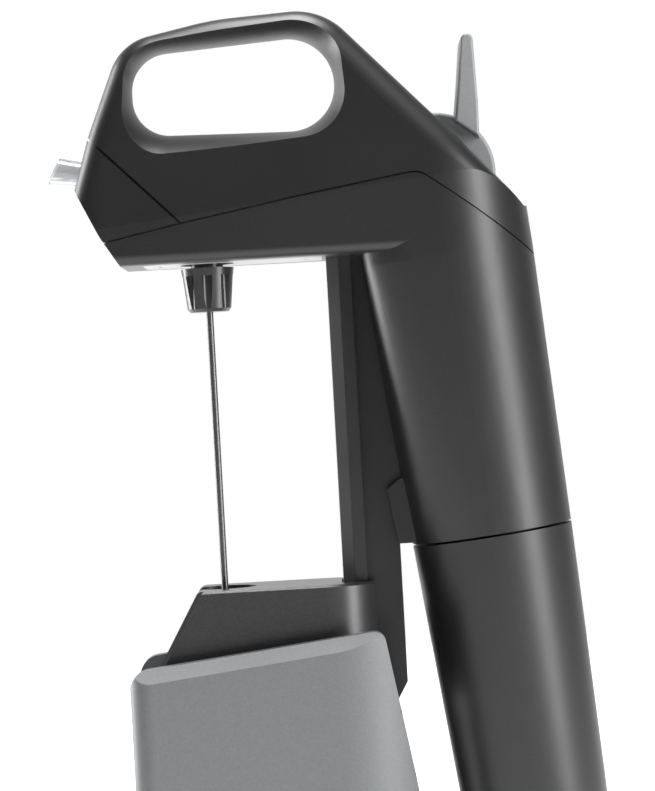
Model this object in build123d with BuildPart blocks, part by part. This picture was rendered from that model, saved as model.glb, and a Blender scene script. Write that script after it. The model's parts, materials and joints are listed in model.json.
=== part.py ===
from build123d import *
from math import cos, radians, sin, tan
import os

# Needle wine pourer: a housing with a finger loop and a slanted handle slides down a
# clamp that grips a bottle neck, and drives a hollow needle through the cork.
# Millimetres. The origin is on the needle axis, in the plane where the clamp stops on
# the bottle's lip. +Z is up along the needle and +X runs from the spout to the handle.

os.makedirs("parts", exist_ok=True)

# ---- driving dimensions: housing ----
wall = 2.4
underside_z = 100.2
floor_z = underside_z + wall
head_half_width = 18.7
head_draft = 12.5
head_rear_x = 73.6
flank_angle = 2.5
nose_reach = -83.0
nose_corner = 12.0
crease_depth = 1.0
edge_round = 6.0
bottom_round = 2.2
seam_groove = 0.35
seam_groove_depth = 0.8

# ---- finger loop: corners from the lower front, in the middle plane and at its reach ----
loop_reach = 18.0
loop_waist = [(-14.2, 128.8), (29.7, 127.7), (29.8, 148.9), (-14.2, 146.0)]
loop_mouth = [(-19.8, 118.2), (33.7, 126.3), (33.8, 164.0), (-19.8, 161.0)]
waist_radii = (8.2, 10.0, 10.0, 8.2)
mouth_radii = (10.0, 11.0, 14.0, 12.0)

# ---- handle grip: depths run down its axis from the trigger pivot ----
pivot_x = 50.4
pivot_z = 117.0
handle_lean = 6.0
grip_root_depth = 10.0
grip_top_depth = 18.0
grip_end_flat = 0.2
grip_split_radius = 17.4
grip_front_corner = 11.0
split_depth = 78.5
split_gap = 0.5
ledge_depth = 62.0
ledge_thickness = 2.5

# ---- trigger and valve ----
trigger_radius = 13.2
trigger_half_width = 4.0
trigger_flat_depth = 8.0
trigger_slot = [(48, 122), (44, 150), (75, 150), (63.5, 118)]
paddle_half_width = 8.0
pin_radius = 2.0
pin_fit = 0.06
stem_back = -5.0
stem_radius = 1.5
stem_fit = 0.08
bracket_plate_depth = 17.0
valve_top_depth = 19.0
regulator_top_depth = 32.0
regulator_radius = 12.5

# ---- gas capsule and its cup ----
capsule_radius = 11.0
capsule_length = 88.0
capsule_mouth_depth = 70.5
cup_end_depth = 168.5
cup_inner_floor = 164.0
thread_radius = 13.2
thread_clearance = 0.3

# ---- needle, hub and spout ----
needle_radius = 0.75
needle_bore = 0.45
needle_tip_z = 2.0
needle_top_z = 112.0
hub_top_z = 99.4
hub_bottom_z = 89.9
hub_top_radius = 5.75
stud_radius = 3.5
stud_top_z = 110.0
socket_radius = 5.5
socket_top_z = 121.0
recess_radius = 5.8
spout_x = -26.6
spout_z = 121.45
spout_rise = 10.0
spout_radius = 2.6
tube_radius = 2.2
gas_level_z = 109.5
gas_side_y = 9.0
gas_tube_radius = 1.5

# ---- underside plate ----
plate_front_x = -13.5
plate_back_x = 25.0
plate_length = plate_back_x - plate_front_x
plate_middle_x = (plate_back_x + plate_front_x) / 2
plate_width = 22.0
plate_thickness = 1.6
screw_shank = 1.1
screw_head = 2.1
screw_places = [(-10.2, 0), (21.5, 0)]

# ---- guide rail ----
rail_neck_x = 33.5
rail_front_x = 25.8
rail_flange_x = 31.0
rail_back_x = 38.5
rail_flange_half = 7.0
rail_bevel = 2.6
rail_edge = 0.3
rail_web_half = 3.0
rail_foot_z = 3.5
rail_head_z = 106.0
slide_clearance = 0.3

# ---- clamp ----
base_top_z = 30.0
base_bottom_z = 1.5
base_back_x = 32.5
base_half_width = 14.0
neck_radius = 14.25
hinge_y = 19.5
hinge_z = 3.0
hinge_pin_radius = 1.5
hinge_fit = 0.08
ear_radius = 2.9
knuckle_radius = 2.9
base_turn = 61.0
base_turn_x = 22.0
base_turn_radius = 12.0
recess_floor_z = 27.5
guide_radius = 4.0
guide_bottom_z = 8.0
liner_thickness = 1.0
liner_low_z = 4.0
liner_high_z = 27.0
slot_half = rail_flange_half + slide_clearance
ear_spans = [(-16.0, -12.0), (19.3, 23.3)]
knuckle_spans = [(-11.6, -6.5), (13.8, 18.9)]
wing_outer_y = 25.5
wing_wall = 2.8
wing_foot_z = -55.0
pad_thickness = 3.0
pad_top_z = -12.0
pad_foot_z = -42.0

# ---- planes and axes that follow from them ----
lean = radians(handle_lean)
axis_up = (-sin(lean), 0, cos(lean))
axis_back = (cos(lean), 0, sin(lean))
HANDLE_SIDE = Plane(origin=(pivot_x, 0, pivot_z), x_dir=axis_back, z_dir=(0, -1, 0))
HANDLE_AXIS = Axis((pivot_x, 0, pivot_z), axis_up)
rise = radians(spout_rise)
spout_out = (-cos(rise), 0, sin(rise))
SPOUT_SIDE = Plane(origin=(spout_x, 0, spout_z), x_dir=(sin(rise), 0, cos(rise)), z_dir=(0, -1, 0))
SPOUT_AXIS = Axis((spout_x, 0, spout_z), spout_out)


def on_handle(depth, back=0.0):
    """Point in the middle plane, this far below the trigger pivot and behind the axis."""
    x = pivot_x + depth * sin(lean) + back * cos(lean)
    z = pivot_z - depth * cos(lean) + back * sin(lean)
    return (x, 0, z)


def handle_plane(depth, back=0.0):
    """Plane square to the handle axis, looking up along it."""
    return Plane(origin=on_handle(depth, back), x_dir=axis_back, z_dir=axis_up)


def finish(piece, label):
    """Labels a finished piece and writes it."""
    piece.part.label = label
    export_step(piece.part, f"parts/{label}.step")
    print(label, len(piece.part.solids()), round(piece.part.volume, 1))


def turned(outline, plane=Plane.XZ, axis=Axis.Z):
    """Solid of revolution: outline points are (radius, height) in the given plane."""
    with BuildPart() as piece:
        with BuildSketch(plane):
            with BuildLine():
                Polyline(*outline, close=True)
            make_face()
        revolve(axis=axis)
    return piece


def upright_ring(inner, outer, low, high):
    """Plain ring or tube on the needle axis."""
    return turned([(inner, low), (outer, low), (outer, high), (inner, high)])


def turned_on_handle(outline):
    """Solid of revolution about the handle axis: points are (radius, depth below pivot)."""
    return turned([(r, -depth) for r, depth in outline], HANDLE_SIDE, HANDLE_AXIS)


def handle_ring(inner, outer, top, end):
    """Plain ring or disc on the handle axis, between two depths."""
    return turned_on_handle([(inner, top), (outer, top), (outer, end), (inner, end)])


def turned_on_spout(outline):
    """Solid of revolution about the spout axis: points are (radius, distance outwards)."""
    return turned([(r, out) for r, out in outline], SPOUT_SIDE, SPOUT_AXIS)


def side_prism(points, half_width):
    """Straight block of a side-view outline, on both sides of the middle plane."""
    with BuildPart() as block:
        with BuildSketch(Plane.XZ):
            with BuildLine():
                Polyline(*points, close=True)
            make_face()
        extrude(amount=half_width, both=True)
    return block


def coil(start, direction, radius, wire, length, turns):
    """Spring of round wire, wound around a straight axis."""
    with BuildPart() as spring:
        with BuildLine() as path:
            Helix(length / turns, length, radius, center=start, direction=direction)
        with BuildSketch(Plane(origin=path.line @ 0, z_dir=path.line % 0)):
            Circle(wire / 2)
        sweep(path=path.line, is_frenet=True)
    return spring


# ---- outer form of the housing ----
# Side view of the head, clockwise from the lower front corner: x, z, corner radius.
head_outline = [
    (-18.0, underside_z, 0),
    (-22.0, 106.6, 16.0),
    (-27.3, 117.4, 0),
    (-24.0, 128.6, 40.0),
    (-16.1, 149.0, 11.5),
    (4.0, 152.9, 60.0),
    (27.8, 154.0, 15.0),
    (72.6, 105.1, 12.0),
]


def head_view():
    """Side view of the head as a closed line."""
    points = [(x, z) for x, z, r in head_outline] + [(head_rear_x, underside_z)]
    radii = [r for x, z, r in head_outline] + [0]
    return FilletPolyline(*points, radius=radii, close=True)


def side_block(inset):
    """Side view of the head as a wide block, moved inward by inset."""
    with BuildPart() as block:
        with BuildSketch(Plane.XZ):
            with BuildLine():
                head_view()
            make_face()
            if inset:
                offset(amount=-inset, kind=Kind.INTERSECTION)
        extrude(amount=2 * head_half_width, both=True)
    return block


def column_plan(radius, front, corner, angle):
    """Plan square to the handle axis: round at the back, with flanks that close to the front."""
    turn = radians(angle)
    start = (-radius * sin(turn), radius * cos(turn))
    front_half_width = start[1] - (start[0] - front) * tan(turn)
    FilletPolyline(
        start,
        (front, front_half_width),
        (front, -front_half_width),
        (start[0], -start[1]),
        radius=corner,
    )
    ThreePointArc((start[0], -start[1]), (radius, 0), start)


def plan_block(inset):
    """Plan of the head along the handle axis, straight below the crease and drafted above it."""
    with BuildPart() as block:
        with BuildSketch(handle_plane(crease_depth)) as plan:
            with BuildLine():
                column_plan(head_half_width, nose_reach, nose_corner, flank_angle)
            make_face()
            if inset:
                offset(amount=-inset, kind=Kind.INTERSECTION)
        extrude(amount=60, taper=head_draft)
        extrude(plan.sketch, amount=-40)
    return block


def outline_edges(head):
    """Long edges where the flanks meet the nose, top and slope."""
    with BuildSketch(Plane.XZ) as view:
        with BuildLine():
            head_view()
        make_face()
    rim = view.sketch.faces()[0].outer_wire()

    def on_rim(edge):
        middle = edge @ 0.5
        return rim.distance_to(Vertex(middle.X, 0, middle.Z)) < 0.02

    low = head_outline[2][1] + 0.5
    raised = head.edges().filter_by(lambda e: (e @ 0.5).Z > low and abs((e @ 0.25).Y) > 0.5)
    along = raised.filter_by(lambda e: abs((e @ 0).Y - (e @ 1).Y) < 0.95 * e.length)
    return along.filter_by(on_rim)


def bottom_edges(head):
    """The two long edges of the underside."""
    low = head.edges().filter_by(lambda e: abs((e @ 0.5).Z - underside_z) < 0.01)
    return low.filter_by(lambda e: abs((e % 0.5).X) > 0.9)


def head_block(inset):
    """Head of the housing, moved inward by inset."""
    with BuildPart() as head:
        add(side_block(inset).part)
        add(plan_block(inset).part, mode=Mode.INTERSECT)
        if not inset:
            fillet(outline_edges(head), radius=edge_round)
            fillet(bottom_edges(head), radius=bottom_round)
    return head


def grip_form(inset):
    """Handle grip from inside the head down to the split, moved inward by inset.

    Its front is squarer at the top, where the flanks of the head run down into it.
    """
    top = head_half_width - inset
    end = grip_split_radius - inset
    corner = grip_front_corner - inset
    with BuildPart() as grip:
        with BuildSketch(handle_plane(grip_top_depth)):
            with BuildLine():
                column_plan(top, -top, corner, flank_angle)
            make_face()
        with BuildSketch(handle_plane(split_depth)):
            with BuildLine():
                column_plan(end, -end, end - grip_end_flat, 0)
            make_face()
        loft(ruled=True)
        with BuildSketch(handle_plane(grip_top_depth)):
            with BuildLine():
                column_plan(top, -top, corner, flank_angle)
            make_face()
        extrude(amount=grip_top_depth - grip_root_depth)
    return grip


def loop_section(y, outset):
    """Rounded outline of the finger loop at this distance from the middle plane."""
    spread = (y / loop_reach) ** 2
    corners = [
        (x + spread * (far_x - x), z + spread * (far_z - z))
        for (x, z), (far_x, far_z) in zip(loop_waist, loop_mouth)
    ]
    radii = [near + spread * (far - near) for near, far in zip(waist_radii, mouth_radii)]
    with BuildSketch(Plane.XZ.offset(-y)) as section:
        with BuildLine():
            FilletPolyline(*corners, radius=radii, close=True)
        make_face()
        if outset:
            offset(amount=outset)
    return section


def loop_cutter(outset):
    """Finger loop: narrowest in the middle plane, it flares in a curve to both sides."""
    with BuildPart() as cutter:
        for y in (-loop_reach, -loop_reach / 2, 0, loop_reach / 2, loop_reach):
            add(loop_section(y, outset).sketch)
        loft()
    return cutter


# Seam between the shells in side view, from in front of the nose to behind the handle.
seam_points = [
    (-40, 102.9),
    (-20.6, 105.5),
    (-4.6, 108.6),
    (21.2, 113.1),
    (46.5, 117.0),
    (58.5, 108.2),
    (66.6, 101.9),
    (78, 92.8),
]
seam_radii = (60, 200, 200, 5, 100, 100)


def below_seam(shift=0.0):
    """Everything below the seam, as a wide block; shift raises the seam."""
    with BuildPart() as block:
        with BuildSketch(Plane.XZ):
            with BuildLine() as rim:
                FilletPolyline(*[(x, z + shift) for x, z in seam_points], radius=seam_radii)
                Polyline(rim.line @ 1, (78, -80), (-40, -80), rim.line @ 0)
            make_face()
        extrude(amount=2 * head_half_width, both=True)
    return block


def nose_zone(shift=0.0):
    """Everything in front of the slanted seam of the nose cap."""
    slant = [(2.0, 102.0), (-24.2, 128.6), (-50, 154.8)]
    moved = [(x + shift, z + shift) for x, z in slant]
    return side_prism(moved + [(-60, 154.8), (-60, 80), (2.0, 80)], 2 * head_half_width)


outer_head = head_block(0)
inner_head = head_block(wall)
outer_grip = grip_form(0)
inner_grip = grip_form(wall)
lower_zone = below_seam()
front_zone = nose_zone()


def build_hollow():
    """Space inside the housing, with a wall left around the finger loop."""
    with BuildPart() as hollow:
        add(inner_head.part)
        add(inner_grip.part)
        add(loop_cutter(wall - 0.4).part, mode=Mode.SUBTRACT)
    return hollow


def build_shell(hollow):
    """Hollow housing in one piece, before it is split along its seams."""
    with BuildPart() as shell:
        add(outer_head.part)
        add(outer_grip.part)
        add(loop_cutter(0).part, mode=Mode.SUBTRACT)
        add(hollow.part, mode=Mode.SUBTRACT)
    return shell


def build_seam_strip():
    """Thin strip along the seam between the shells."""
    with BuildPart() as strip:
        add(below_seam(seam_groove / 2).part)
        add(below_seam(-seam_groove / 2).part, mode=Mode.SUBTRACT)
    return strip


def build_groove():
    """Shallow groove along the seams, cut into the skin of the shells only."""
    with BuildPart() as groove:
        add(nose_zone(seam_groove / 2).part)
        add(nose_zone(-seam_groove / 2).part, mode=Mode.SUBTRACT)
        add(lower_zone.part, mode=Mode.SUBTRACT)
        add(build_seam_strip().part)
        add(head_block(seam_groove_depth).part, mode=Mode.SUBTRACT)
        add(grip_form(seam_groove_depth).part, mode=Mode.SUBTRACT)
    return groove


def build_cutters():
    """Holes and slots of the shells: trigger, spout, underside plate, needle and rail."""
    with BuildPart() as cut:
        with BuildSketch(Plane.XZ):
            with Locations((pivot_x, pivot_z)):
                Circle(trigger_radius + 0.6)
        extrude(amount=trigger_half_width + 0.5, both=True)
        add(side_prism(trigger_slot, trigger_half_width + 0.5).part)
        spout_hole = spout_radius + 0.05
        add(turned_on_spout([(0, -8), (spout_hole, -8), (spout_hole, 4), (0, 4)]).part)
        with BuildSketch(Plane.XY.offset(underside_z)):
            with Locations((plate_middle_x, 0)):
                RectangleRounded(plate_length, plate_width, 3)
        extrude(amount=plate_thickness)
        with BuildSketch(Plane.XY.offset(underside_z - 2)):
            Circle(recess_radius)
            with Locations(*screw_places):
                Circle(screw_shank)
        extrude(amount=wall + 2)
        add(rail_block(underside_z - 40, rail_head_z, rail_neck_x).part)
    return cut


def on_rail_side(edge):
    """True for an edge on either side of the rail's flange."""
    return abs(abs((edge @ 0.5).Y) - rail_flange_half) < 0.01


def rail_block(foot_z, head_z, back_x):
    """Rail with a T section: a wide flange in front and a narrow web behind it."""
    with BuildPart() as rail:
        with BuildSketch(Plane.XY.offset(foot_z)):
            with Locations(((rail_front_x + rail_flange_x) / 2, 0)):
                Rectangle(rail_flange_x - rail_front_x, 2 * rail_flange_half)
            with Locations(((rail_flange_x + back_x) / 2, 0)):
                Rectangle(back_x - rail_flange_x, 2 * rail_web_half)
        extrude(amount=head_z - foot_z)
        front = rail.edges().filter_by(Axis.Z).group_by(Axis.X)[0]
        chamfer(front, length=rail_bevel)
        fillet(rail.edges().filter_by(Axis.Z).group_by(Axis.X)[0], radius=rail_edge)
        sides = rail.edges().filter_by(Axis.Z).filter_by(on_rail_side)
        fillet(sides.filter_by(lambda e: (e @ 0.5).X < rail_flange_x - 0.5), radius=rail_edge)
    return rail


housing_hollow = build_hollow()
housing_shell = build_shell(housing_hollow)
seam_cut = build_groove()
housing_cut = build_cutters()


def build_upper_shell():
    """Top of the head with the finger loop and the slot for the trigger."""
    with BuildPart() as piece:
        add(housing_shell.part)
        add(lower_zone.part, mode=Mode.SUBTRACT)
        add(front_zone.part, mode=Mode.SUBTRACT)
        add(seam_cut.part, mode=Mode.SUBTRACT)
        add(housing_cut.part, mode=Mode.SUBTRACT)
    return piece


def build_nose_cap():
    """Cap at the front that holds the spout."""
    with BuildPart() as piece:
        add(housing_shell.part)
        add(front_zone.part, mode=Mode.INTERSECT)
        add(lower_zone.part, mode=Mode.SUBTRACT)
        add(seam_cut.part, mode=Mode.SUBTRACT)
        add(housing_cut.part, mode=Mode.SUBTRACT)
    return piece


def build_lower_shell():
    """Underside of the head and the handle grip, with a ledge that carries the regulator."""
    with BuildPart() as piece:
        add(housing_shell.part)
        add(lower_zone.part, mode=Mode.INTERSECT)
        add(seam_cut.part, mode=Mode.SUBTRACT)
        add(housing_cut.part, mode=Mode.SUBTRACT)
        inner, outer = 11.2, grip_split_radius - 1.0
        top, end = ledge_depth, ledge_depth + ledge_thickness
        add(handle_ring(inner, outer, top, end).part)
    return piece


finish(build_upper_shell(), "upper_shell")
finish(build_nose_cap(), "nose_cap")
finish(build_lower_shell(), "lower_shell")


# ---- underside plate and its screws ----
def build_underside_plate():
    """Pale plate around the needle hub, with countersunk screws."""
    with BuildPart() as piece:
        with BuildSketch(Plane.XY.offset(underside_z)):
            with Locations((plate_middle_x, 0)):
                RectangleRounded(plate_length, plate_width, 3)
            Circle(recess_radius, mode=Mode.SUBTRACT)
        extrude(amount=plate_thickness)
        with Locations(*[Location((x, y, underside_z), (180, 0, 0)) for x, y in screw_places]):
            CounterBoreHole(screw_shank, screw_head + 0.05, 1.0, plate_thickness)
    return piece


def build_screw(x, y):
    """Pan-head screw seen from below, with a cross slot."""
    shank = screw_shank - 0.03
    outline = [(0, 0), (screw_head, 0), (screw_head, 1.0), (shank, 1.0), (shank, 5.0), (0, 5.0)]
    with BuildPart() as piece:
        with BuildSketch(Plane(origin=(x, y, underside_z), x_dir=(1, 0, 0), z_dir=(0, -1, 0))):
            with BuildLine():
                Polyline(*outline, close=True)
            make_face()
        revolve(axis=Axis((x, y, underside_z), (0, 0, 1)))
        with BuildSketch(Plane.XY.offset(underside_z)):
            with Locations((x, y)):
                Rectangle(2.6, 0.6)
                Rectangle(0.6, 2.6)
        extrude(amount=0.6, mode=Mode.SUBTRACT)
    return piece


finish(build_underside_plate(), "underside_plate")
finish(build_screw(*screw_places[0]), "underside_screw_front")
finish(build_screw(*screw_places[1]), "underside_screw_rear")


# ---- wine path ----
def build_spout():
    """Clear spout, slightly flared, cut off on a slant, with a collar inside the nose."""
    outline = [
        (1.8, -10),
        (3.8, -10),
        (3.8, -4.5),
        (spout_radius, -4.5),
        (spout_radius, 0),
        (3.05, 8),
        (2.45, 8),
        (2.0, 0),
    ]
    beyond_slant = [(-30.2, 125.7), (-33.7, 119.1), (-45, 119.1), (-45, 135), (-30.2, 135)]
    with BuildPart() as piece:
        add(turned_on_spout(outline).part)
        add(side_prism(beyond_slant, 10).part, mode=Mode.SUBTRACT)
    return piece


def spout_ring(inner, outer, low, high):
    """Plain ring or tube on the spout axis."""
    return turned_on_spout([(inner, low), (outer, low), (outer, high), (inner, high)])


finish(build_spout(), "spout")
finish(spout_ring(tube_radius + 0.02, 3.4, -12, -10), "spout_seal")
finish(spout_ring(1.2, tube_radius, -23.5, -10), "wine_tube")


def build_needle_socket():
    """Brass socket that takes the needle hub, with a side boss for the gas tube."""
    with BuildPart() as piece:
        with BuildSketch(Plane.XY.offset(floor_z)):
            Circle(8.0)
        extrude(amount=1.6)
        with BuildSketch(Plane.XY.offset(floor_z)):
            Circle(socket_radius)
        extrude(amount=socket_top_z - floor_z)
        with Locations((4, 5.5, gas_level_z)):
            Box(8, 11, 6)
        with BuildSketch(Plane.XY.offset(floor_z)):
            Circle(stud_radius + stem_fit)
        extrude(amount=needle_top_z - floor_z + 0.5, mode=Mode.SUBTRACT)
        add(spout_ring(0, tube_radius + 0.02, -25, -18).part, mode=Mode.SUBTRACT)
        with BuildSketch(Plane.XY.offset(needle_top_z)):
            Circle(1.0)
        extrude(amount=6, mode=Mode.SUBTRACT)
    return piece


def build_gas_tube():
    """Tube from the valve up the handle and forward to the needle socket."""
    start = on_handle(20, -8)
    bend = on_handle(7.5, -8)
    with BuildPart() as piece:
        with BuildLine(Plane.XZ.offset(-gas_side_y)) as path:
            FilletPolyline((start[0], start[2]), (bend[0], gas_level_z), (8, gas_level_z), radius=6)
        with BuildSketch(Plane(origin=path.line @ 0, z_dir=path.line % 0)):
            Circle(gas_tube_radius)
            Circle(0.9, mode=Mode.SUBTRACT)
        sweep(path=path.line)
    return piece


finish(build_needle_socket(), "needle_socket")
finish(build_gas_tube(), "gas_tube")


# ---- regulator and valve ----
def build_valve_body():
    """Brass valve block under the trigger, with a side boss for the gas tube."""
    with BuildPart() as piece:
        add(handle_ring(0, 10, valve_top_depth, regulator_top_depth).part)
        with BuildSketch(handle_plane(28)):
            with Locations((-7.8, 8.5)):
                Rectangle(4.8, 5.6)
        extrude(amount=8)
        with BuildSketch(handle_plane(valve_top_depth, stem_back)):
            Circle(stem_radius + stem_fit)
        extrude(amount=-6, mode=Mode.SUBTRACT)
        with BuildSketch(handle_plane(24, stem_back)):
            Circle(3.0)
        extrude(amount=-7, mode=Mode.SUBTRACT)
    return piece


regulator_outline = [
    (1.15, 68.5),
    (8.0, 68.5),
    (8.0, ledge_depth + 0.5),
    (8.5, ledge_depth),
    (regulator_radius, ledge_depth),
    (regulator_radius, regulator_top_depth),
    (0, regulator_top_depth),
    (0, 36),
    (9.5, 36),
    (9.5, 52),
    (1.15, 52),
]
finish(build_valve_body(), "valve_body")
finish(turned_on_handle(regulator_outline), "regulator_body")
piston_outline = [(0, 36.0), (9.4, 36.0), (9.4, 39.5), (3, 39.5), (3, 42), (0, 42)]
finish(turned_on_handle(piston_outline), "regulator_piston")
finish(coil(on_handle(51.1), axis_up, 6.5, 1.6, 10.7, 4), "regulator_spring")
finish(turned_on_handle([(0, 56), (1.14, 56), (1.14, 72.2), (0, 73.8)]), "piercing_pin")
finish(handle_ring(1.3, 6, 68.5, 70.2), "capsule_seal")


def build_valve_stem():
    """Push stem in front of the handle axis, with a collar under the valve's guide."""
    with BuildPart() as piece:
        with BuildSketch(handle_plane(26, stem_back)):
            Circle(stem_radius)
        extrude(amount=26 - 8.6 - stem_radius)
        with Locations(handle_plane(8.6 + stem_radius, stem_back)):
            Sphere(stem_radius)
        with BuildSketch(handle_plane(26, stem_back)):
            Circle(2.4)
        extrude(amount=1.7)
    return piece


def build_stem_ring():
    """Seal ring around the collar of the stem."""
    with BuildPart() as piece:
        with BuildSketch(handle_plane(25.6, stem_back)):
            Circle(2.92)
            Circle(2.4, mode=Mode.SUBTRACT)
        extrude(amount=0.9)
    return piece


finish(build_valve_stem(), "valve_stem")
finish(build_stem_ring(), "stem_seal_ring")
finish(coil(on_handle(30.6, stem_back), axis_up, 2.0, 0.7, 4.2, 4), "valve_spring")


# ---- trigger ----
def build_trigger_bracket():
    """Steel fork on the valve block that carries the trigger pin."""
    inner, outer = 5.0, 6.6
    with BuildPart() as piece:
        with BuildSketch(HANDLE_SIDE):
            with Locations((0, -(bracket_plate_depth - 3) / 2)):
                Rectangle(8, bracket_plate_depth + 3)
            Circle(pin_radius + 0.02, mode=Mode.SUBTRACT)
        extrude(amount=outer, both=True)
        with BuildSketch(HANDLE_SIDE):
            with Locations((0, 0)):
                Rectangle(40, 2 * bracket_plate_depth)
        extrude(amount=inner, both=True, mode=Mode.SUBTRACT)
        with BuildSketch(handle_plane(valve_top_depth)):
            Rectangle(13, 2 * outer)
            with Locations((stem_back, 0)):
                Circle(2.2, mode=Mode.SUBTRACT)
        extrude(amount=valve_top_depth - bracket_plate_depth)
    return piece


def build_trigger_lever():
    """Grey trigger: a round hub with a flat foot, a neck and an upright thumb paddle."""
    with BuildPart() as blade:
        with BuildSketch(Plane.XZ):
            with BuildLine():
                FilletPolyline(
                    (55.3, 127.8),
                    (56.4, 136.4),
                    (57.5, 146.4),
                    (60.0, 146.4),
                    (60.4, 131.7),
                    (60.3, 124.0),
                    radius=(0, 60, 1.2, 1.2, 60, 0),
                    close=True,
                )
            make_face()
        extrude(amount=paddle_half_width, both=True)
        rims = blade.edges().filter_by(lambda e: abs((e @ 0.5).Y) > paddle_half_width - 0.1)
        fillet(rims, radius=0.6)
    with BuildPart() as piece:
        with BuildSketch(HANDLE_SIDE):
            Circle(trigger_radius)
            with Locations((0, -trigger_flat_depth - 10)):
                Rectangle(40, 20, mode=Mode.SUBTRACT)
        extrude(amount=trigger_half_width, both=True)
        fillet(piece.edges().filter_by(lambda e: (e @ 0.5).Z > pivot_z + 8), radius=0.8)
        neck = [(51.5, 121), (55.2, 128.2), (60.3, 125.5), (61.4, 119)]
        add(side_prism(neck, trigger_half_width).part)
        add(blade.part)
        with BuildSketch(HANDLE_SIDE):
            Circle(pin_radius + pin_fit)
        extrude(amount=10, both=True, mode=Mode.SUBTRACT)
    return piece


def build_trigger_pin():
    """Pin through the fork and the trigger's hub."""
    with BuildPart() as piece:
        with BuildSketch(HANDLE_SIDE):
            Circle(pin_radius)
        extrude(amount=7.2, both=True)
    return piece


finish(build_trigger_bracket(), "trigger_bracket")
finish(build_trigger_lever(), "trigger_lever")
finish(build_trigger_pin(), "trigger_pin")


# ---- capsule, cup and thread ring ----
thread_ring_outline = [
    (thread_radius, ledge_depth + ledge_thickness),
    (14.95, ledge_depth + ledge_thickness),
    (14.95, split_depth - 0.3),
    (thread_radius, split_depth - 0.3),
]
capsule_end = capsule_mouth_depth + capsule_length
capsule_outline = [
    (1.6, capsule_mouth_depth),
    (3.6, capsule_mouth_depth),
    (4.3, 71.3),
    (4.3, 79),
    (6.6, 82),
    (9.6, 86),
    (capsule_radius, 90),
    (capsule_radius, capsule_end - 7),
    (9.8, capsule_end - 3),
    (7.0, capsule_end - 0.7),
    (4.5, capsule_end),
    (0, capsule_end),
    (0, capsule_end - 1.8),
    (6.4, capsule_end - 3),
    (9.4, capsule_end - 8),
    (9.4, 90.5),
    (2.7, 80),
    (2.7, 74),
    (1.6, 73),
]
insert_radius = thread_radius - thread_clearance
insert_outline = [
    (11.5, 66),
    (insert_radius, 66),
    (insert_radius, split_depth + split_gap),
    (14.55, split_depth + split_gap),
    (14.55, 84),
    (11.5, 84),
]
cup_outline = [
    (14.6, split_depth + split_gap),
    (grip_split_radius, split_depth + split_gap),
    (15.85, 135.7),
    (15.0, 161.0),
    (14.3, 165.0),
    (12.6, 167.6),
    (10.0, cup_end_depth),
    (0, cup_end_depth),
    (0, cup_inner_floor),
    (12.2, cup_inner_floor),
    (13.0, 84),
    (14.6, 84),
]
finish(turned_on_handle(thread_ring_outline), "cup_thread_ring")
finish(turned_on_handle(capsule_outline), "gas_capsule")
finish(turned_on_handle(insert_outline), "cup_thread_insert")
finish(turned_on_handle(cup_outline), "capsule_cup")
cushion_outline = [(0, 159.0), (4, 159.0), (11.5, 160.5), (11.5, cup_inner_floor)]
finish(turned_on_handle(cushion_outline + [(0, cup_inner_floor)]), "cup_cushion")


# ---- needle and its hub ----
def build_needle_hub():
    """Fluted hub that screws into the socket."""
    outline = [
        (needle_radius + 0.01, hub_bottom_z),
        (4.2, hub_bottom_z),
        (4.75, hub_bottom_z + 0.7),
        (hub_top_radius, hub_top_z),
        (stud_radius, hub_top_z),
        (stud_radius, stud_top_z),
        (needle_radius + 0.01, stud_top_z),
    ]
    with BuildPart() as piece:
        add(turned(outline).part)
        with BuildSketch(Plane.XY.offset(hub_bottom_z - 1)):
            with PolarLocations(5.9, 8):
                Circle(1.25)
        extrude(amount=hub_top_z - hub_bottom_z - 0.6, mode=Mode.SUBTRACT)
        with BuildSketch(Plane.XY.offset(106)):
            Circle(stud_radius + 1)
            Circle(2.7, mode=Mode.SUBTRACT)
        extrude(amount=0.9, mode=Mode.SUBTRACT)
    return piece


def build_needle_tube():
    """Hollow needle with a closed point and a side port."""
    outline = [
        (0, needle_tip_z),
        (needle_radius, needle_tip_z + 4),
        (needle_radius, needle_top_z),
        (needle_bore, needle_top_z),
        (needle_bore, needle_tip_z + 5),
        (0, needle_tip_z + 4.6),
    ]
    with BuildPart() as piece:
        add(turned(outline).part)
        with BuildSketch(Plane.YZ):
            with Locations((0, needle_tip_z + 7)):
                Circle(0.3)
        extrude(amount=-2, mode=Mode.SUBTRACT)
    return piece


finish(build_needle_hub(), "needle_hub")
finish(build_needle_tube(), "needle_tube")
finish(upright_ring(2.7, stud_radius, 106, 106.9), "hub_seal_ring")


# ---- guide rail ----
def build_guide_rail():
    """Rail below the head, with a chamfered foot, that ends inside the head."""
    with BuildPart() as piece:
        add(rail_block(rail_foot_z, underside_z, rail_back_x).part)
        add(rail_block(underside_z, rail_head_z, rail_neck_x).part)
        below_foot = [(39, 8.5), (36.1, rail_foot_z), (36.1, 0), (45, 0), (45, 8.5)]
        add(side_prism(below_foot, 10).part, mode=Mode.SUBTRACT)
        add(outer_grip.part, mode=Mode.SUBTRACT)
        add(inner_grip.part, mode=Mode.SUBTRACT)
    return piece


def build_rail_bracket():
    """Small saddle that ties the rail's web to the handle grip, with a fin above it."""
    outline = [(36.3, 49.4), (38.2, 37.6), (41.6, 37.6), (46, 44), (44, 52.5), (39.1, 51.6)]
    fin = [(38, 46), (44, 46), (41, 64), (38, 64)]
    with BuildPart() as piece:
        add(side_prism(outline, 5.5).part)
        add(side_prism(fin, rail_web_half).part)
        add(outer_grip.part, mode=Mode.SUBTRACT)
        add(rail_block(0, underside_z, rail_back_x).part, mode=Mode.SUBTRACT)
    return piece


finish(build_guide_rail(), "guide_rail")
finish(build_rail_bracket(), "rail_bracket")


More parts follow.
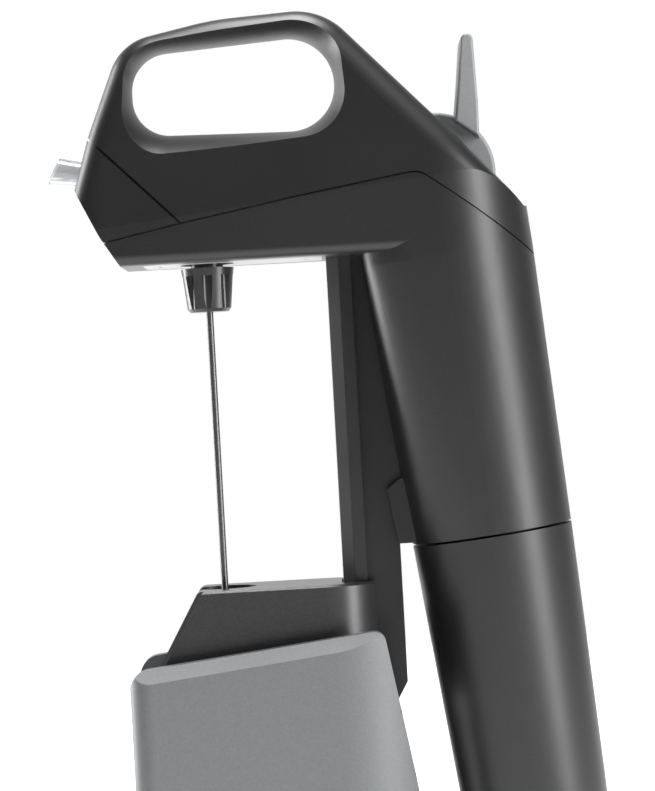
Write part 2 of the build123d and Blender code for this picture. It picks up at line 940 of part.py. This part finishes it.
# ---- clamp base ----
def base_plan():
    """Plan of the clamp base: straight flanks that turn inwards at the back."""
    low = JernArc((base_turn_x, -base_half_width), (1, 0), base_turn_radius, base_turn)
    high = JernArc((base_turn_x, base_half_width), (1, 0), base_turn_radius, -base_turn)
    Line(low @ 1, high @ 1)
    Polyline(low @ 0, (-17, -base_half_width), (-17, base_half_width), high @ 0)


def build_clamp_base():
    """Block that stops on the bottle's lip, guides the needle and rail and carries the hinges."""
    side = [
        (-5.4, base_top_z),
        (base_back_x, base_top_z),
        (base_back_x, base_bottom_z),
        (-17.0, base_bottom_z),
        (-17.0, 9.8),
    ]
    with BuildPart() as piece:
        add(side_prism(side, base_half_width).part)
        with BuildSketch(Plane.XY):
            with BuildLine():
                base_plan()
            make_face()
        extrude(amount=40, mode=Mode.INTERSECT)
        front = piece.edges().filter_by(lambda e: (e @ 0.5).X < -8 and abs((e @ 0.5).Y) > 13.9)
        slant = front.filter_by(lambda e: abs((e % 0.5).Z) > 0.5 and abs((e % 0.5).X) > 0.3)
        chamfer(slant, length=0.9)
        chamfer(piece.faces().sort_by(Axis.Z)[-1].edges(), length=0.5)
        for side_sign in (1, -1):
            for low, high in ear_spans:
                with BuildSketch(Plane.YZ.offset(low)):
                    with Locations((side_sign * hinge_y, hinge_z)):
                        Circle(ear_radius)
                    with Locations((side_sign * (hinge_y + 9) / 2, hinge_z + 1)):
                        Rectangle(hinge_y - 9, 2 * ear_radius - 1)
                extrude(amount=high - low)
            with BuildSketch(Plane.YZ.offset(-20)):
                with Locations((side_sign * hinge_y, hinge_z)):
                    Circle(hinge_pin_radius + 0.01)
            extrude(amount=60, mode=Mode.SUBTRACT)
        with BuildSketch(Plane.XY.offset(recess_floor_z)):
            Circle(6.8)
        extrude(amount=5, mode=Mode.SUBTRACT)
        with BuildSketch(Plane.XY):
            Circle(guide_radius)
        extrude(amount=40, mode=Mode.SUBTRACT)
        with BuildSketch(Plane.XY):
            with Locations(((rail_front_x + rail_flange_x) / 2, 0)):
                Rectangle(rail_flange_x - rail_front_x + 2 * slide_clearance, 2 * slot_half)
            with Locations((base_back_x, 0)):
                Rectangle(4, 2 * (rail_web_half + slide_clearance))
        extrude(amount=40, mode=Mode.SUBTRACT)
        with BuildSketch(Plane.XY.offset(liner_low_z)):
            with Locations(((rail_front_x + rail_flange_x) / 2, 0)):
                Rectangle(rail_flange_x - rail_front_x - 1, 2 * (slot_half + liner_thickness))
        extrude(amount=liner_high_z - liner_low_z, mode=Mode.SUBTRACT)
    return piece


def build_rail_liner(side_sign):
    """Slippery strip beside the rail's flange."""
    middle_x = (rail_front_x + rail_flange_x) / 2
    middle_y = side_sign * (slot_half + liner_thickness / 2)
    height = liner_high_z - liner_low_z
    with BuildPart() as piece:
        with Locations((middle_x, middle_y, liner_low_z + height / 2)):
            Box(rail_flange_x - rail_front_x - 1, liner_thickness, height)
    return piece


def build_hinge_pin(side_sign):
    """Straight pin that carries one wing."""
    with BuildPart() as piece:
        with BuildSketch(Plane.YZ.offset(ear_spans[0][0])):
            with Locations((side_sign * hinge_y, hinge_z)):
                Circle(hinge_pin_radius)
        extrude(amount=ear_spans[1][1] - ear_spans[0][0])
    return piece


finish(build_clamp_base(), "clamp_base")
finish(build_rail_liner(-1), "near_rail_liner")
finish(build_rail_liner(1), "far_rail_liner")
guide_bore = needle_radius + 0.08
guide_outline = [
    (guide_bore, guide_bottom_z),
    (guide_radius, guide_bottom_z),
    (guide_radius, recess_floor_z),
    (3.0, 28.6),
    (2.4, 29.2),
    (guide_bore, 29.2),
]
finish(turned(guide_outline), "needle_guide")
finish(upright_ring(guide_bore, guide_radius, 6.5, guide_bottom_z), "needle_wiper")
finish(upright_ring(6, 13.8, 0, base_bottom_z), "lip_gasket")


# ---- wings ----
def wing_view():
    """Side view of a wing, clockwise from the lower front."""
    return FilletPolyline(
        (-20.5, wing_foot_z),
        wing_front_top,
        wing_back_top,
        (38.9, -11.0),
        (41.0, -26.0),
        (36.0, wing_foot_z),
        radius=(14, 4.5, 2.5, 30, 60, 16),
        close=True,
    )


def wing_plan(reach):
    """Plan of a wing on the far side: flat flank, rounded front, wide wrap at the back."""
    Polyline((44, 5), (-20.5, 5))
    FilletPolyline((-20.5, 5), (-20.5, wing_outer_y), (41, wing_outer_y), (reach, 5), radius=(5, 20))


def wing_block(inset):
    """Wing on the far side as a solid, moved inward by inset except towards the neck."""
    with BuildPart() as block:
        with BuildSketch(Plane.XZ):
            with BuildLine():
                wing_view()
            make_face()
            if inset:
                offset(amount=-inset)
        extrude(amount=-40)
        with BuildSketch(Plane.XY.offset(-70)):
            with BuildLine():
                wing_plan(44)
            make_face()
            if inset:
                offset(amount=-inset)
        extrude(amount=100, mode=Mode.INTERSECT)
    return block


wing_front_top = (-20.5, 14.2)
wing_back_top = (33.6, 20.4)
wing_top_reach = 60.0
wing_bevel = 2.0
wing_top_plane = Plane(
    origin=(wing_front_top[0], 0, wing_front_top[1]),
    x_dir=(wing_front_top[1] - wing_back_top[1], 0, wing_back_top[0] - wing_front_top[0]),
    z_dir=(wing_back_top[0] - wing_front_top[0], 0, wing_back_top[1] - wing_front_top[1]),
)


def build_wing():
    """Far wing: a hollow grey cover that opens towards the neck, with hinge knuckles."""
    inner_cut = [(-2, 24), (20.0, 24), (19.0, 20.5), (15.2, 2), (15.2, -70), (-2, -70)]
    with BuildPart() as piece:
        add(wing_block(0).part)
        with BuildSketch(wing_top_plane):
            with Locations((0, -wing_outer_y)):
                Rectangle(2 * wing_bevel, 2 * wing_bevel, rotation=45)
        extrude(amount=wing_top_reach, both=True, mode=Mode.SUBTRACT)
        add(wing_block(wing_wall).part, mode=Mode.SUBTRACT)
        for low, high in knuckle_spans:
            with BuildSketch(Plane.YZ.offset(low)):
                with Locations((hinge_y, hinge_z)):
                    Circle(knuckle_radius)
                with Locations(((hinge_y + wing_outer_y) / 2, hinge_z)):
                    Rectangle(wing_outer_y - hinge_y - 1, 2 * knuckle_radius)
            extrude(amount=high - low)
        with BuildSketch(Plane.XY.offset(pad_foot_z - 1.5)):
            Circle(neck_radius + pad_thickness + 2.2)
            Circle(neck_radius + pad_thickness, mode=Mode.SUBTRACT)
            with Locations((0, -20)):
                Rectangle(80, 40, mode=Mode.SUBTRACT)
            for x in (-30 - 11, 30 + 11):
                with Locations((x, 0)):
                    Rectangle(60, 80, mode=Mode.SUBTRACT)
            for x in (-8, 0, 8):
                with Locations((x, 21.0)):
                    Rectangle(2, 6)
        extrude(amount=pad_top_z - pad_foot_z + 3)
        with BuildSketch(Plane.XY.offset(-70)):
            Circle(neck_radius + pad_thickness)
        extrude(amount=69, mode=Mode.SUBTRACT)
        with BuildSketch(Plane.YZ.offset(-30)):
            with BuildLine():
                Polyline(*inner_cut, close=True)
            make_face()
        extrude(amount=90, mode=Mode.SUBTRACT)
        with BuildSketch(Plane.YZ.offset(-20)):
            with Locations((hinge_y, hinge_z)):
                Circle(hinge_pin_radius + hinge_fit)
        extrude(amount=60, mode=Mode.SUBTRACT)
    return piece


def build_grip_pad():
    """Far pad of soft rubber, hollowed to fit the neck."""
    with BuildPart() as piece:
        with BuildSketch(Plane.XY.offset(pad_foot_z)):
            Circle(neck_radius + pad_thickness)
            Circle(neck_radius, mode=Mode.SUBTRACT)
            with Locations((0, -20)):
                Rectangle(80, 40, mode=Mode.SUBTRACT)
            for x in (-30 - 9.8, 30 + 9.8):
                with Locations((x, 0)):
                    Rectangle(60, 80, mode=Mode.SUBTRACT)
        extrude(amount=pad_top_z - pad_foot_z)
    return piece


def mirrored(piece):
    """The same piece on the near side."""
    with BuildPart() as other:
        add(piece.part)
        mirror(about=Plane.XZ, mode=Mode.REPLACE)
    return other


far_wing = build_wing()
far_pad = build_grip_pad()
finish(far_wing, "far_wing")
finish(mirrored(far_wing), "near_wing")
finish(far_pad, "far_grip_pad")
finish(mirrored(far_pad), "near_grip_pad")
finish(build_hinge_pin(1), "far_hinge_pin")
finish(build_hinge_pin(-1), "near_hinge_pin")
spring_length = 18.3
finish(coil((-5.5, hinge_y, hinge_z), (1, 0, 0), 2.2, 0.9, spring_length, 9), "far_wing_spring")
finish(coil((-5.5, -hinge_y, hinge_z), (1, 0, 0), 2.2, 0.9, spring_length, 9), "near_wing_spring")
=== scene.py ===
import json
import math

import bmesh
import bpy
from mathutils import Matrix, Vector


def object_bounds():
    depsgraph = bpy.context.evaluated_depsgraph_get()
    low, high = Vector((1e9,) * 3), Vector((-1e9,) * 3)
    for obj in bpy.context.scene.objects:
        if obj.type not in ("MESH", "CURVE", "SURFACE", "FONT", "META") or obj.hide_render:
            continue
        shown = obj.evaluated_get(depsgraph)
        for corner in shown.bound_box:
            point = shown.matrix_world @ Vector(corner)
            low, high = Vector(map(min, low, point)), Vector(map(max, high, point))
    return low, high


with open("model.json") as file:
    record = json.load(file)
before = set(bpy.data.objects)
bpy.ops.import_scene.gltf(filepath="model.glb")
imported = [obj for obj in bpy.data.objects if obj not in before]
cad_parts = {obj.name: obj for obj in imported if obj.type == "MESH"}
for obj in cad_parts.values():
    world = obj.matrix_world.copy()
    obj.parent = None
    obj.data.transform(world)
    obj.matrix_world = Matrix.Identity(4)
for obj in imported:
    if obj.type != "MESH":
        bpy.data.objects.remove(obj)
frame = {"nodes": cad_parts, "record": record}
cad_low, cad_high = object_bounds()

# Needle wine pourer: a looped housing on a rail, a clamp for a bottle neck and a slanted
# handle with a gas capsule. Everything is in metres; MICRON turns micrometres into metres.
MICRON = 0.000001

# ---- studio sizes and strengths ----
camera_place = (0.02456, -0.700, 0.07036)
camera_lens = 146.5
camera_sensor = 36.0
camera_roll = 3.2
clip_near, clip_far = 0.01, 20.0

floor_radius = 0.9
floor_corners = 96
floor_drop = 0.0005
floor_tone = 0.95
floor_glow = 0.22

lit_middle = (0.02, 0, 0.08)
sky_strength = 2.6
sky_spread = 30
surround_dim, surround_bright = 0.085, 1.0
surround_starts, surround_full = 0.76, 0.97

# ---- grain of the finishes, in features per metre ----
mould_grain = 2600
mould_flow = 28
machining_lines = 900
clear_haze = 700
rubber_grain = 1800


# ---- material building blocks ----
def new_material(name):
    """An empty node material and its shader."""
    material = bpy.data.materials.new(name)
    material.use_nodes = True
    shader = material.node_tree.nodes["Principled BSDF"]
    return material, shader


def object_noise(material, scale, detail, roughness=0.5, stretch=(1, 1, 1)):
    """Noise on object coordinates; scale is in features per metre."""
    nodes, links = material.node_tree.nodes, material.node_tree.links
    place = nodes.new("ShaderNodeTexCoord")
    mapping = nodes.new("ShaderNodeMapping")
    mapping.inputs["Scale"].default_value = stretch
    noise = nodes.new("ShaderNodeTexNoise")
    noise.inputs["Scale"].default_value = scale
    noise.inputs["Detail"].default_value = detail
    noise.inputs["Roughness"].default_value = roughness
    links.new(place.outputs["Object"], mapping.inputs["Vector"])
    links.new(mapping.outputs["Vector"], noise.inputs["Vector"])
    return noise.outputs["Fac"]


def remap(material, value, low, high, to_low, to_high):
    """value between low and high becomes to_low to to_high."""
    node = material.node_tree.nodes.new("ShaderNodeMapRange")
    node.inputs["From Min"].default_value = low
    node.inputs["From Max"].default_value = high
    node.inputs["To Min"].default_value = to_low
    node.inputs["To Max"].default_value = to_high
    material.node_tree.links.new(value, node.inputs["Value"])
    return node.outputs["Result"]


def blend_colours(material, factor, first, second):
    """A colour between first and second."""
    node = material.node_tree.nodes.new("ShaderNodeMix")
    node.data_type = "RGBA"
    node.inputs["A"].default_value = (*first, 1)
    node.inputs["B"].default_value = (*second, 1)
    material.node_tree.links.new(factor, node.inputs["Factor"])
    return node.outputs["Result"]


def bump(material, height, microns):
    """A bump normal whose full height is given in micrometres."""
    node = material.node_tree.nodes.new("ShaderNodeBump")
    node.inputs["Strength"].default_value = 1.0
    node.inputs["Distance"].default_value = microns * MICRON
    material.node_tree.links.new(height, node.inputs["Height"])
    return node.outputs["Normal"]


def moulded_plastic(name, colour, roughness, grain_height, fleck):
    """Moulded plastic with a spark-eroded grain and faint flow variation."""
    material, shader = new_material(name)
    links = material.node_tree.links
    grain = object_noise(material, mould_grain, 3.0, 0.6)
    flow = object_noise(material, mould_flow, 3.0, 0.55)
    dark = tuple(c * (1 - fleck) for c in colour)
    light = tuple(c * (1 + fleck) for c in colour)
    speckle = remap(material, grain, 0.3, 0.7, 0, 1)
    links.new(blend_colours(material, speckle, dark, light), shader.inputs["Base Color"])
    links.new(
        remap(material, flow, 0.3, 0.7, roughness - 0.03, roughness + 0.03),
        shader.inputs["Roughness"],
    )
    shader.inputs["Specular IOR Level"].default_value = 0.5
    links.new(bump(material, grain, grain_height), shader.inputs["Normal"])
    return material


def ground_metal(name, colour, roughness, scratch_height, stretch=(1, 1, 1)):
    """Metal with fine machining lines, drawn out where stretch is small."""
    material, shader = new_material(name)
    links = material.node_tree.links
    lines = object_noise(material, machining_lines, 4.0, 0.65, stretch)
    tone = remap(material, lines, 0.25, 0.75, 0, 1)
    dark = tuple(c * 0.82 for c in colour)
    links.new(blend_colours(material, tone, dark, colour), shader.inputs["Base Color"])
    shader.inputs["Metallic"].default_value = 1.0
    links.new(
        remap(material, lines, 0.25, 0.75, roughness - 0.06, roughness + 0.08),
        shader.inputs["Roughness"],
    )
    links.new(bump(material, lines, scratch_height), shader.inputs["Normal"])
    return material


def clear_moulding(name):
    """Clear plastic with a faint frosting."""
    material, shader = new_material(name)
    links = material.node_tree.links
    shader.inputs["Base Color"].default_value = (0.66, 0.67, 0.68, 1)
    shader.inputs["Transmission Weight"].default_value = 0.92
    shader.inputs["IOR"].default_value = 1.45
    haze = object_noise(material, clear_haze, 3.0)
    links.new(remap(material, haze, 0.3, 0.7, 0.08, 0.2), shader.inputs["Roughness"])
    return material


def soft_rubber(name, colour, grain_height):
    """Matte rubber with a dusty sheen."""
    material, shader = new_material(name)
    links = material.node_tree.links
    grain = object_noise(material, rubber_grain, 4.0, 0.7)
    tone = remap(material, grain, 0.3, 0.7, 0, 1)
    light = tuple(c * 1.5 for c in colour)
    links.new(blend_colours(material, tone, colour, light), shader.inputs["Base Color"])
    links.new(remap(material, grain, 0.3, 0.7, 0.7, 0.85), shader.inputs["Roughness"])
    shader.inputs["Sheen Weight"].default_value = 0.15
    links.new(bump(material, grain, grain_height), shader.inputs["Normal"])
    return material


# ---- the finishes ----
# plastics: colour, roughness, grain height in micrometres, fleck
black_shell = moulded_plastic("satin black moulding", (0.0105, 0.0105, 0.011), 0.4, 12, 0.25)
base_black = moulded_plastic("clamp base moulding", (0.021, 0.021, 0.022), 0.3, 14, 0.3)
rail_black = moulded_plastic("guide rail moulding", (0.013, 0.013, 0.0135), 0.34, 8, 0.25)
slate_wing = moulded_plastic("slate grey moulding", (0.122, 0.126, 0.131), 0.45, 14, 0.1)
trigger_grey = moulded_plastic("trigger grey moulding", (0.2, 0.205, 0.21), 0.45, 20, 0.1)
hub_black = moulded_plastic("glossy hub moulding", (0.018, 0.018, 0.019), 0.3, 4, 0.35)
plate_grey = moulded_plastic("underside plate moulding", (0.34, 0.34, 0.35), 0.35, 6, 0.06)
liner_cream = moulded_plastic("rail liner moulding", (0.55, 0.55, 0.53), 0.4, 6, 0.06)
spout_clear = clear_moulding("clear spout moulding")
# metals: colour, roughness, scratch height in micrometres, and how the lines stretch
along_needle = (1, 1, 0.05)
needle_steel = ground_metal("ground needle steel", (0.13, 0.13, 0.135), 0.38, 3, along_needle)
part_steel = ground_metal("turned steel", (0.5, 0.5, 0.52), 0.3, 6)
spring_wire = ground_metal("drawn spring wire", (0.36, 0.36, 0.38), 0.32, 4)
turned_brass = ground_metal("turned brass", (0.68, 0.5, 0.22), 0.25, 6)
# brass darkened to near black so the split gap between handle and cup reads as a dark line:
# painted shade in the gap
gap_shade_brass = ground_metal("brass darkened as gap shade", (0.03, 0.028, 0.025), 0.5, 6)
seal_rubber = soft_rubber("seal rubber", (0.02, 0.02, 0.021), 30)

slot_finish = {
    "black_plastic": black_shell,
    "grey_plastic": slate_wing,
    "hub_plastic": hub_black,
    "plate_plastic": plate_grey,
    "liner_plastic": liner_cream,
    "clear_plastic": spout_clear,
    "steel": part_steel,
    "spring_steel": spring_wire,
    "brass": turned_brass,
    "rubber": seal_rubber,
}
own_finish = {
    "clamp_base": base_black,
    "trigger_lever": trigger_grey,
    "needle_tube": needle_steel,
    "guide_rail": rail_black,
    "rail_bracket": rail_black,
    # thread ring and insert take the painted gap shade in place of brass
    "cup_thread_ring": gap_shade_brass,
    "cup_thread_insert": gap_shade_brass,
}


def finish_nodes():
    """Every CAD node gets its slot's finish, or its own."""
    for piece in frame["record"]["subparts"]:
        node = frame["nodes"][piece["node"]]
        finish = own_finish.get(piece["node"], slot_finish[piece["material_slot"]])
        node.data.materials.clear()
        node.data.materials.append(finish)


finish_nodes()


# ---- camera, floor and lights ----
def grey(level):
    """An opaque grey from 0 to 1."""
    return (level, level, level, 1)


def add_camera():
    """A long lens square to the near side, rolled a little about its own line of sight."""
    data = bpy.data.cameras.new("studio camera")
    data.sensor_width = camera_sensor
    data.lens = camera_lens
    data.clip_start = clip_near
    data.clip_end = clip_far
    camera = bpy.data.objects.new("studio camera", data)
    bpy.context.scene.collection.objects.link(camera)
    tilt = math.radians(camera_roll)
    right = Vector((math.cos(tilt), 0, -math.sin(tilt)))
    up = Vector((math.sin(tilt), 0, math.cos(tilt)))
    back = Vector((0, -1, 0))
    turn = Matrix((right, up, back)).transposed().to_4x4()
    camera.matrix_world = Matrix.Translation(camera_place) @ turn
    bpy.context.scene.camera = camera


def add_softbox(name, place, size, watts):
    """A rectangular light that faces the object's middle."""
    data = bpy.data.lights.new(name, "AREA")
    data.shape = "RECTANGLE"
    data.size, data.size_y = size
    data.energy = watts
    lamp = bpy.data.objects.new(name, data)
    bpy.context.scene.collection.objects.link(lamp)
    lamp.location = place
    towards = Vector(lit_middle) - Vector(place)
    lamp.rotation_euler = towards.to_track_quat("-Z", "Y").to_euler()


def add_sky_light():
    """Soft light from straight above, which keeps the floor white."""
    data = bpy.data.lights.new("sky light", "SUN")
    data.energy = sky_strength
    data.angle = math.radians(sky_spread)
    lamp = bpy.data.objects.new("sky light", data)
    bpy.context.scene.collection.objects.link(lamp)


def add_floor():
    """A round pale floor just under the lowest piece, glowing a little so it stays white."""
    floor_mesh = bpy.data.meshes.new("pale floor")
    shape = bmesh.new()
    bmesh.ops.create_circle(
        shape, cap_ends=True, segments=floor_corners, radius=floor_radius
    )
    bmesh.ops.translate(shape, verts=shape.verts, vec=(0, 0, cad_low.z - floor_drop))
    shape.to_mesh(floor_mesh)
    shape.free()
    floor = bpy.data.objects.new("pale_floor", floor_mesh)
    bpy.context.scene.collection.objects.link(floor)
    material, shader = new_material("pale floor paint")
    shader.inputs["Base Color"].default_value = grey(floor_tone)
    shader.inputs["Roughness"].default_value = 0.9
    shader.inputs["Emission Color"].default_value = grey(1)
    shader.inputs["Emission Strength"].default_value = floor_glow
    floor_mesh.materials.append(material)


def add_world():
    """A white backdrop all round, whose light comes mostly from behind the object."""
    world = bpy.data.worlds.new("studio surround")
    bpy.context.scene.world = world
    world.use_nodes = True
    nodes, links = world.node_tree.nodes, world.node_tree.links
    surround = nodes["Background"]
    place = nodes.new("ShaderNodeTexCoord")
    split = nodes.new("ShaderNodeSeparateXYZ")
    ramp = nodes.new("ShaderNodeValToRGB")
    ramp.color_ramp.interpolation = "EASE"
    near_side, far_side = ramp.color_ramp.elements
    near_side.position, near_side.color = surround_starts, grey(surround_dim)
    far_side.position, far_side.color = surround_full, grey(surround_bright)
    shift = nodes.new("ShaderNodeMapRange")
    shift.inputs["From Min"].default_value = -1
    shift.inputs["From Max"].default_value = 1
    links.new(place.outputs["Generated"], split.inputs["Vector"])
    links.new(split.outputs["Y"], shift.inputs["Value"])
    links.new(shift.outputs["Result"], ramp.inputs["Fac"])
    links.new(ramp.outputs["Color"], surround.inputs["Color"])
    backdrop = nodes.new("ShaderNodeBackground")
    backdrop.inputs["Color"].default_value = grey(1)
    path = nodes.new("ShaderNodeLightPath")
    shown = nodes.new("ShaderNodeMixShader")
    links.new(path.outputs["Is Camera Ray"], shown.inputs["Fac"])
    links.new(surround.outputs["Background"], shown.inputs[1])
    links.new(backdrop.outputs["Background"], shown.inputs[2])
    links.new(shown.outputs["Shader"], nodes["World Output"].inputs["Surface"])


bpy.context.scene.view_settings.view_transform = "Standard"
add_camera()
add_floor()
add_world()
add_softbox("right softbox", (0.62, -0.40, 0.22), (0.24, 0.7), 7.5)
add_softbox("overhead softbox", (0.05, 0.05, 0.9), (0.5, 0.5), 5.0)
add_softbox("left strip", (-0.50, 0.30, 0.12), (0.2, 0.7), 5.5)
add_sky_light()
